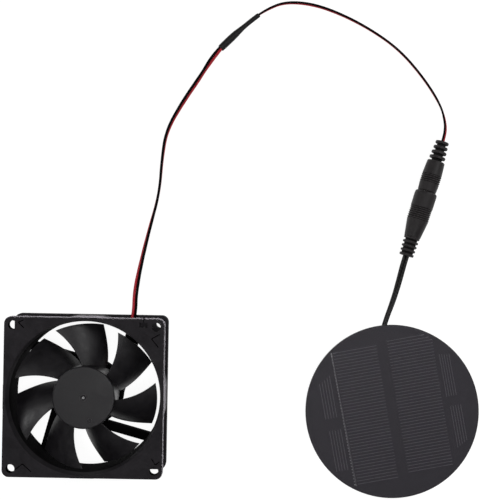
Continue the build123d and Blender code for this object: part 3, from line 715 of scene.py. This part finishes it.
def beside(line, offset, twist):
    """A line moved sideways round its centre line, and raised so that it stays on the floor."""
    moved = []
    along = distances(line)
    for point, direction, distance in zip(line, directions(line), along):
        angle = angle_at(twist, distance / along[-1])
        left, top = side_and_top(direction)
        rise = UP * abs(offset * math.sin(angle))
        moved.append(point + offset * (left * math.cos(angle) + top * math.sin(angle)) + rise)
    return moved


def round_tube(line, radius):
    """Vertices and faces of a round tube along a line."""
    rings = []
    for point, direction in zip(line, directions(line)):
        left, top = side_and_top(direction)
        rings.append([
            point + radius * (left * math.cos(turn) + top * math.sin(turn))
            for turn in (2 * math.pi * side / WIRE_SIDES for side in range(WIRE_SIDES))])
    return skin(rings)


def add_wire_pair(route, twist, diameter, names, looks):
    """A red and a black wire side by side along one route, turning about each other as they go."""
    centre = route_line(route)
    offset = diameter / 2
    for sign, node, slot, look in zip((1, -1), names, ("wire_red", "wire_black"), looks):
        line = beside(centre, sign * offset, twist)
        vertices, faces = round_tube(line, diameter / 2)
        wire = add_piece(node + "_wire", vertices, faces, look, "fan_side", slot, (node,))


def add_panel_cable(look):
    """Flat twin cable that turns on edge as it nears the panel."""
    centre = route_line(PANEL_CABLE_ROUTE)
    strands = []
    for sign in (1, -1):
        offset = sign * TWIN_STRAND * STRAND_OFFSET
        strands.append(round_tube(beside(centre, offset, PANEL_CABLE_TWIST), TWIN_STRAND / 2))
    cable = add_piece("panel_twin_cable", *joined(strands), look, "panel_side", "cable_black",
                      ("panel_cable",))


def add_sleeve(look):
    """Heat-shrink sleeve: pinched on the wires at both ends, full over the splice, lightly wrinkled."""
    start = Vector(FAN_LEAD_ROUTE[-1])
    end = Vector(PLUG_LEAD_ROUTE[0])
    along = (end - start).normalized()
    left, top = side_and_top(along)
    # share of the length, half width and half height in millimetres
    stations = [
        (0.0, 1.74, 1.40), (0.02, 1.84, 1.60), (0.08, 1.88, 1.78), (0.30, 1.90, 1.84), (0.40, 1.80, 1.76),
        (0.50, 1.54, 1.60), (0.60, 1.30, 1.42), (0.68, 1.22, 1.32), (0.82, 1.23, 1.28), (0.98, 1.22, 1.26),
        (1.0, 1.12, 1.18),
    ]
    count, sides = 72, 28
    rings = []
    for row in range(count + 1):
        share = row / count
        for (s0, w0, h0), (s1, w1, h1) in zip(stations, stations[1:]):
            if share <= s1:
                step = (share - s0) / (s1 - s0)
                width = (w0 + (w1 - w0) * step) * MM
                height = (h0 + (h1 - h0) * step) * MM
                break
        centre = start + (end - start) * share + left * (SLEEVE_BOW * math.sin(math.pi * share ** 1.2))
        ring = []
        for side in range(sides):
            turn = 2 * math.pi * side / sides
            point = centre + left * (width * math.cos(turn)) + top * (height * math.sin(turn))
            ripple = noise.noise(point * 900) * 0.05
            ripple += noise.noise(Vector((share * 60, turn * 0.6, 3))) * 0.035
            outward = (point - centre).normalized()
            ring.append(point + outward * (ripple * MM * min(1, 6 * share, 6 * (1 - share))))
        rings.append(ring)
    return add_piece("heat_shrink_sleeve", *skin(rings), look, "fan_side", "sleeve_black", ("splice_sleeve",))


# ================= fan =================
def add_gate_stub(look):
    """The stub left where the moulding gate was cut off, in the middle of the hub."""
    hub_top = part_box("impeller")[1].z
    sides = 20
    rings = []
    # millimetres above the hub, and the radius there
    for height, width in ((-0.15, 0.62), (0.05, 0.60), (0.14, 0.50), (0.16, 0.30)):
        ring = []
        for side in range(sides):
            turn = 2 * math.pi * side / sides
            uneven = noise.noise(Vector((math.cos(turn), math.sin(turn), height)) * 2.3)
            radius = width * MM * (1 + 0.10 * uneven)
            lean = 0.16 * MM * (math.cos(turn) * 0.5 - math.sin(turn)) * (width / 0.6)
            ring.append(Vector((radius * math.cos(turn), radius * math.sin(turn), 0))
                        + UP * (hub_top + height * MM + min(0.0, lean)))
        rings.append(ring)
    add_piece("hub_gate_stub", *skin(rings), look, "rotor", "impeller_plastic")


def add_hub_bead(name, x, y, radius, thickness, look):
    """A fine raised ring left on the hub's face by the mould."""
    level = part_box("impeller")[1].z
    rings = []
    for step in range(HUB_RING_STEPS):
        turn = 2 * math.pi * step / HUB_RING_STEPS
        outward = Vector((math.cos(turn), math.sin(turn), 0))
        centre = Vector((x, y, level)) + outward * radius
        size = thickness * (1 + 0.3 * noise.noise(centre * 1500))
        rings.append([centre + outward * (size * math.cos(a)) + UP * (0.45 * size * math.sin(a))
                      for a in (math.pi * share / 4 for share in range(8))])
    add_piece(name, *skin(rings, loop=True), look, "rotor", "impeller_plastic")


# ================= panel =================
class PanelFrame:
    """The panel's own axes: u along the printed fingers, v along the ribbon, from the disc's centre."""

    def __init__(self):
        low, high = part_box("panel_board")
        self.centre = (low + high) / 2
        self.board_top = high.z
        self.cell_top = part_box("cell_left")[1].z
        film_low, film_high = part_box("panel_film")
        self.film_top = film_high.z
        self.film_radius = (film_high.x - film_low.x) / 2
        ribbon = [vertex.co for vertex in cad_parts["bus_ribbon"].data.vertices]
        lowest = min(ribbon, key=lambda point: point.y)
        highest = max(ribbon, key=lambda point: point.y)
        self.v_axis = Vector((highest.x - lowest.x, highest.y - lowest.y, 0)).normalized()
        self.u_axis = Vector((self.v_axis.y, -self.v_axis.x, 0))

    def local(self, point):
        flat = Vector((point.x - self.centre.x, point.y - self.centre.y, 0))
        return flat.dot(self.u_axis), flat.dot(self.v_axis)

    def world(self, u, v, height):
        flat = self.centre + self.u_axis * u + self.v_axis * v
        return Vector((flat.x, flat.y, height))


def outline_of(points):
    """Corners in order round their middle, without repeats."""
    unique = []
    for point in points:
        if all(math.dist(point, other) > 0.05 * MM for other in unique):
            unique.append(point)
    middle = [sum(values) / len(unique) for values in zip(*unique)]
    return sorted(unique, key=lambda point: math.atan2(point[1] - middle[1], point[0] - middle[0]))


def cell_outlines(panel):
    """The outlines of the two long cells and of the four side cells, in u and v."""
    long_cells = []
    for node in ("cell_left", "cell_right"):
        corners = [panel.local(vertex.co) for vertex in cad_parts[node].data.vertices]
        long_cells.append(outline_of(corners))
    quarters = {}
    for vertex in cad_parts["side_cells"].data.vertices:
        corner = panel.local(vertex.co)
        quarters.setdefault((corner[0] > 0, corner[1] > 0), []).append(corner)
    return long_cells, [outline_of(corners) for _, corners in sorted(quarters.items())]


def crossing(outline, level, axis):
    """Where a line at a level of one axis enters and leaves an outline, on the other axis."""
    found = []
    for start, end in zip(outline, outline[1:] + outline[:1]):
        low, high = sorted((start[axis], end[axis]))
        if low < level <= high:
            share = (level - start[axis]) / (end[axis] - start[axis])
            found.append(start[1 - axis] + share * (end[1 - axis] - start[1 - axis]))
    return min(found), max(found)


def printed_bar(panel, start, end, width, height):
    """A low printed line with sloping sides and ends, between two places in u and v."""
    along = (Vector(end) - Vector(start)).normalized()
    across = Vector((-along.y, along.x))
    rings = []
    # shares of its height, and of its width that the sides and ends draw in by
    for level, inset in ((0.0, 0.0), (0.6, 0.1), (1.0, 0.3)):
        near = Vector(start) + along * (inset * width)
        far = Vector(end) - along * (inset * width)
        half = across * (width * (0.5 - inset * 0.6))
        rings.append([
            panel.world(corner.x, corner.y, panel.cell_top + level * height)
            for corner in (near - half, far - half, far + half, near + half)])
    return skin(rings)


def add_fingers(panel, long_cells, side_cells, look):
    """The printed collector lines of every cell."""
    for name, outlines, axis in (("column_fingers", long_cells, 1), ("side_cell_fingers", side_cells, 0)):
        bars = []
        for outline in outlines:
            low = min(corner[axis] for corner in outline)
            high = max(corner[axis] for corner in outline)
            count = SIDE_FINGERS if axis == 0 else int((high - low) / FINGER_PITCH)
            pitch = (high - low) / count
            for index in range(count):
                level = low + (index + 0.5) * pitch
                near, far = crossing(outline, level, axis)
                places = [(near + FINGER_MARGIN, level), (far - FINGER_MARGIN, level)]
                if axis == 0:
                    places = [place[::-1] for place in places]
                bars.append(printed_bar(panel, *places, FINGER_WIDTH, FINGER_HEIGHT))
        add_piece(name, *joined(bars), look, "panel_side", "ribbon_tin", sharp_degrees=60)


def add_ribbon_dots(panel, outline, look):
    """A bead of solder where each finger of the left column meets the ribbon."""
    low = min(corner[1] for corner in outline)
    high = max(corner[1] for corner in outline)
    count = int((high - low) / FINGER_PITCH)
    pitch = (high - low) / count
    u = min(corner[0] for corner in outline) - BEAD_INSET
    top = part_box("bus_ribbon")[1].z
    beads = []
    for index in range(count):
        v = low + (index + 0.5) * pitch
        rings = []
        # millimetres above the ribbon, and the radius there
        for height, width in ((-0.02, 0.30), (0.03, 0.27), (0.06, 0.15)):
            radius = width * MM
            rings.append([
                panel.world(u + radius * math.cos(turn), v + radius * math.sin(turn), top + height * MM)
                for turn in (2 * math.pi * side / 10 for side in range(10))])
        beads.append(skin(rings))
    add_piece("ribbon_solder_beads", *joined(beads), look, "panel_side", "solder")


def inside_depth(outline, u, v):
    """How far a place lies inside a convex outline, negative outside."""
    depths = []
    for start, end in zip(outline, outline[1:] + outline[:1]):
        edge = Vector((end[0] - start[0], end[1] - start[1]))
        depths.append((edge.x * (v - start[1]) - edge.y * (u - start[0])) / edge.length)
    return min(depths)


def add_film(panel, outlines, look):
    """Clear laminate over the whole face: it dips between the cells and rolls down at the rim."""
    radius = panel.film_radius
    inner_floor = panel.cell_top + FILM_CLEARANCE
    rim_floor = panel.board_top + FILM_RIM_GAP
    flat_radius = radius - FILM_EDGE_ROUND

    def height_at(u, v):
        depth = max(inside_depth(outline, u, v) for outline in outlines)
        share = min(1.0, max(0.0, (depth + FILM_SLOPE_OUTSIDE) / FILM_SLOPE))
        eased = share * share * (3 - 2 * share)
        return panel.film_top - FILM_SAG * (1 - eased)

    def ring_at(distance, height=None):
        ring = []
        for side in range(FILM_SIDES):
            turn = 2 * math.pi * side / FILM_SIDES
            u, v = distance * math.cos(turn), distance * math.sin(turn)
            ring.append(panel.world(u, v, height_at(u, v) if height is None else height))
        return ring

    rings = [ring_at(flat_radius * (step + 0.5) / FILM_RINGS) for step in range(FILM_RINGS)]
    rim_top = panel.film_top - FILM_SAG
    for quarter in range(1, 5):
        turn = math.pi / 2 * quarter / 4
        rings.append(ring_at(flat_radius + FILM_EDGE_ROUND * math.sin(turn),
                             rim_top - FILM_EDGE_ROUND * (1 - math.cos(turn))))
    rings.append(ring_at(radius, rim_floor))
    rings.append(ring_at(radius - FILM_RIM, rim_floor))
    rings.append(ring_at(radius - FILM_RIM - FILM_RIM_STEP, inner_floor))
    rings.append(ring_at(0.5 * MM, inner_floor))
    rings.reverse()
    add_piece("face_laminate", *skin(rings), look, "panel_side", "film_pet", ("panel_film",), 50)


# ================= build =================
for node, material in node_looks().items():
    assign(node, material)

red = insulation("red_insulation", (0.36, 0.014, 0.024), (0.50, 0.022, 0.036), (0.40, 0.60), 0.20)
black = insulation("black_insulation", (0.0018, 0.0016, 0.0018), (0.0034, 0.0030, 0.0034),
                   (0.5, 0.7), 0.03)
sleeve = add_sleeve(insulation("heat_shrink", (0.009, 0.0085, 0.009), (0.018, 0.017, 0.018),
                               (0.42, 0.6), 0.20))
add_wire_pair(FAN_LEAD_ROUTE, FAN_LEAD_TWIST, FAN_WIRE, ("red_lead_lower", "black_lead_lower"),
              (red, black))
add_wire_pair(PLUG_LEAD_ROUTE, PLUG_LEAD_TWIST, THIN_WIRE, ("red_lead_upper", "black_lead_upper"),
              (red, black))
add_panel_cable(insulation("cable_insulation", (0.011, 0.011, 0.011), (0.021, 0.020, 0.021), (0.4, 0.6),
                           0.25, 0.00018))

# The gate stub is glossy, and its pale grey tone is a painted highlight.
gate_stub_highlight = moulded("gate_stub_highlight_plastic", (0.20, 0.20, 0.205), (0.42, 0.42, 0.43), (0.18, 0.3),
                  grain_per_mm=3.0, grain_depth=0.00003)
# The raised hub rings are glossier than the hub, and their lighter tone is a painted highlight.
hub_bead_highlight = moulded("hub_bead_highlight_plastic", (0.020, 0.018, 0.020), (0.040, 0.037, 0.040), (0.25, 0.4),
                 grain_per_mm=3.0, grain_depth=0.00002)
add_gate_stub(gate_stub_highlight)
add_hub_bead("hub_centre_ring", *HUB_CENTRE_RING, hub_bead_highlight)
add_hub_bead("hub_mark_ring", *HUB_MARK_RING, hub_bead_highlight)

panel = PanelFrame()
columns, side_outlines = cell_outlines(panel)
add_fingers(panel, columns, side_outlines,
            silver_print("silver_print", (0.150, 0.142, 0.158), (0.255, 0.244, 0.268)))
add_ribbon_dots(panel, columns[0], silver_print("silver_solder", (0.45, 0.44, 0.46), (0.65, 0.64, 0.66)))
add_film(panel, columns + side_outlines, laminate())

add_camera()
add_world(WORLD_LIGHT)
add_floor()
# name, place, aim, size, watts, and a strip's height
add_light("overhead", (0.05, -0.01, 0.95), (0.08, 0.06, 0), 0.5, 2.0)
add_light("key_right", (0.48, 0.28, 0.50), (0.06, 0.05, 0), 0.28, 1.35)
add_light("key_left", (-0.39, 0.19, 0.42), (0.04, 0.05, 0), 0.20, 0.75)
add_light("edge_right", (0.32, 0.0, 0.020), (0.0, 0.0, 0.020), 0.12, 0.036, 0.010)
add_light("edge_far", (0.0, 0.32, 0.020), (0.0, 0.0, 0.020), 0.12, 0.045, 0.010)
bpy.context.scene.view_settings.view_transform = "Standard"
